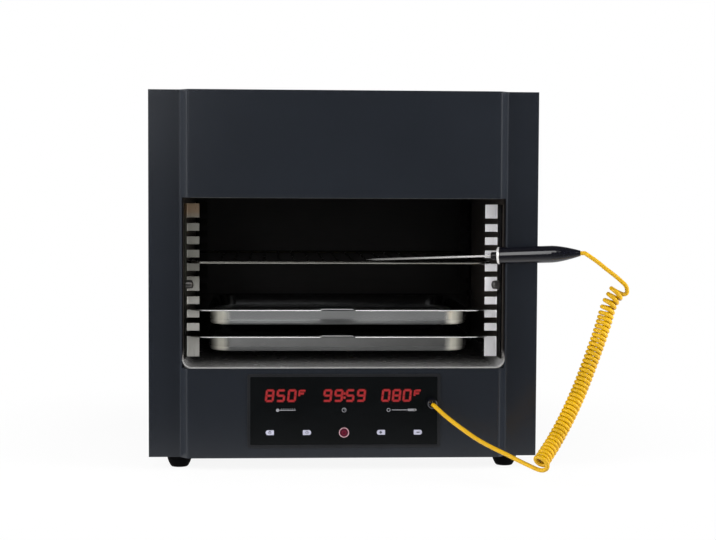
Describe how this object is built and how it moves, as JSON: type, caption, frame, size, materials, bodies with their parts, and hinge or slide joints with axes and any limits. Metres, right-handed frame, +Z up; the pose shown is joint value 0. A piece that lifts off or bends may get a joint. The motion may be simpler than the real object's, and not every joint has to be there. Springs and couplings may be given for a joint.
{
  "type": "electric grill",
  "caption": "Open-front countertop electric grill: overhead quartz heater, slotted racks, sliding trays and wire grate, touch panel and a food probe on a curly cord.",
  "frame": {"origin": "on the table under the middle of the grill's width and depth, feet at Z = 0; the probe and its cord are left out of the measure", "axes": "+Z up, front with the opening towards -Y, +X to the right seen from the front"},
  "size_m": [0.4855, 0.4962, 0.388],
  "materials": {
    "casing_paint": "satin powder coat with a fine texture",
    "base_steel": "matt",
    "black_screws": "black oxide",
    "rubber": "matt moulded",
    "zinc_steel": "zinc plated",
    "liner_steel": "satin stainless steel",
    "comb_steel": "satin stainless steel",
    "heater_steel": "satin stainless steel",
    "quartz": "milky quartz",
    "ceramic": "matt",
    "mineral_wool": "fibrous",
    "black_plastic": "gloss moulded",
    "bezel_plastic": "satin moulded",
    "panel_glass": "polished black",
    "display_plastic": "smoked red",
    "circuit_board": "lacquered",
    "brass": "turned",
    "core_steel": "lacquered laminations",
    "relay_plastic": "moulded",
    "terminal_plastic": "moulded",
    "tray_steel": "satin stainless steel",
    "grate_steel": "polished wire",
    "cord_jacket": "satin moulded",
    "probe_steel": "polished"
  },
  "bodies": {
    "housing": {"outer_casing": "casing_paint", "front_fascia": "casing_paint", "rear_panel": "casing_paint", "rear_screws": "black_screws", "base_plate": "base_steel", "foot_front_left": "rubber", "foot_front_right": "rubber", "foot_rear_left": "rubber", "foot_rear_right": "rubber", "foot_screws": "zinc_steel", "cavity_shelf": "zinc_steel", "cavity_liner": "liner_steel", "liner_back": "liner_steel", "comb_front_left": "comb_steel", "comb_front_right": "comb_steel", "comb_rear_left": "comb_steel", "comb_rear_right": "comb_steel", "comb_screws": "comb_steel", "comb_nuts": "zinc_steel", "heater_hood": "heater_steel", "heater_bracket_left": "heater_steel", "heater_bracket_right": "heater_steel", "quartz_tubes": "quartz", "tube_caps": "ceramic", "insulation_top": "mineral_wool", "insulation_left": "mineral_wool", "insulation_right": "mineral_wool", "insulation_back": "mineral_wool", "thermocouple": "heater_steel", "thermal_cutout": "black_plastic", "panel_bezel": "bezel_plastic", "panel_glass": "panel_glass", "display_temperature": "display_plastic", "display_timer": "display_plastic", "display_probe": "display_plastic", "control_board": "circuit_board", "board_posts": "brass", "probe_jack": "black_plastic", "power_board": "circuit_board", "power_posts": "brass", "transformer": "core_steel", "heater_relays": "relay_plastic", "terminal_block": "terminal_plastic", "cable_gland": "black_plastic", "gland_nut": "black_plastic", "probe_plug": "black_plastic", "cord_lower_lead": "cord_jacket", "curly_cord": "cord_jacket"},
    "grate": {"grill_grate": "grate_steel"},
    "upper_pan": {"upper_pan": "tray_steel"},
    "lower_pan": {"lower_pan": "tray_steel"},
    "probe": {"probe_needle": "probe_steel", "probe_ferrule": "probe_steel", "probe_handle": "black_plastic", "cord_upper_lead": "cord_jacket"}
  },
  "joints": [
    {"name": "grate_slide", "type": "slide", "parent": "housing", "child": "grate", "axis": [0, -1, 0], "range_m": [0, 0.3]},
    {"name": "upper_pan_slide", "type": "slide", "parent": "housing", "child": "upper_pan", "axis": [0, -1, 0], "range_m": [0, 0.3]},
    {"name": "lower_pan_slide", "type": "slide", "parent": "housing", "child": "lower_pan", "axis": [0, -1, 0], "range_m": [0, 0.3]},
    {"name": "probe_pull", "type": "slide", "parent": "housing", "child": "probe", "axis": [0.9629, -0.2665, 0.0438], "range_m": [0, 0.1], "deforming": ["curly_cord"]}
  ]
}
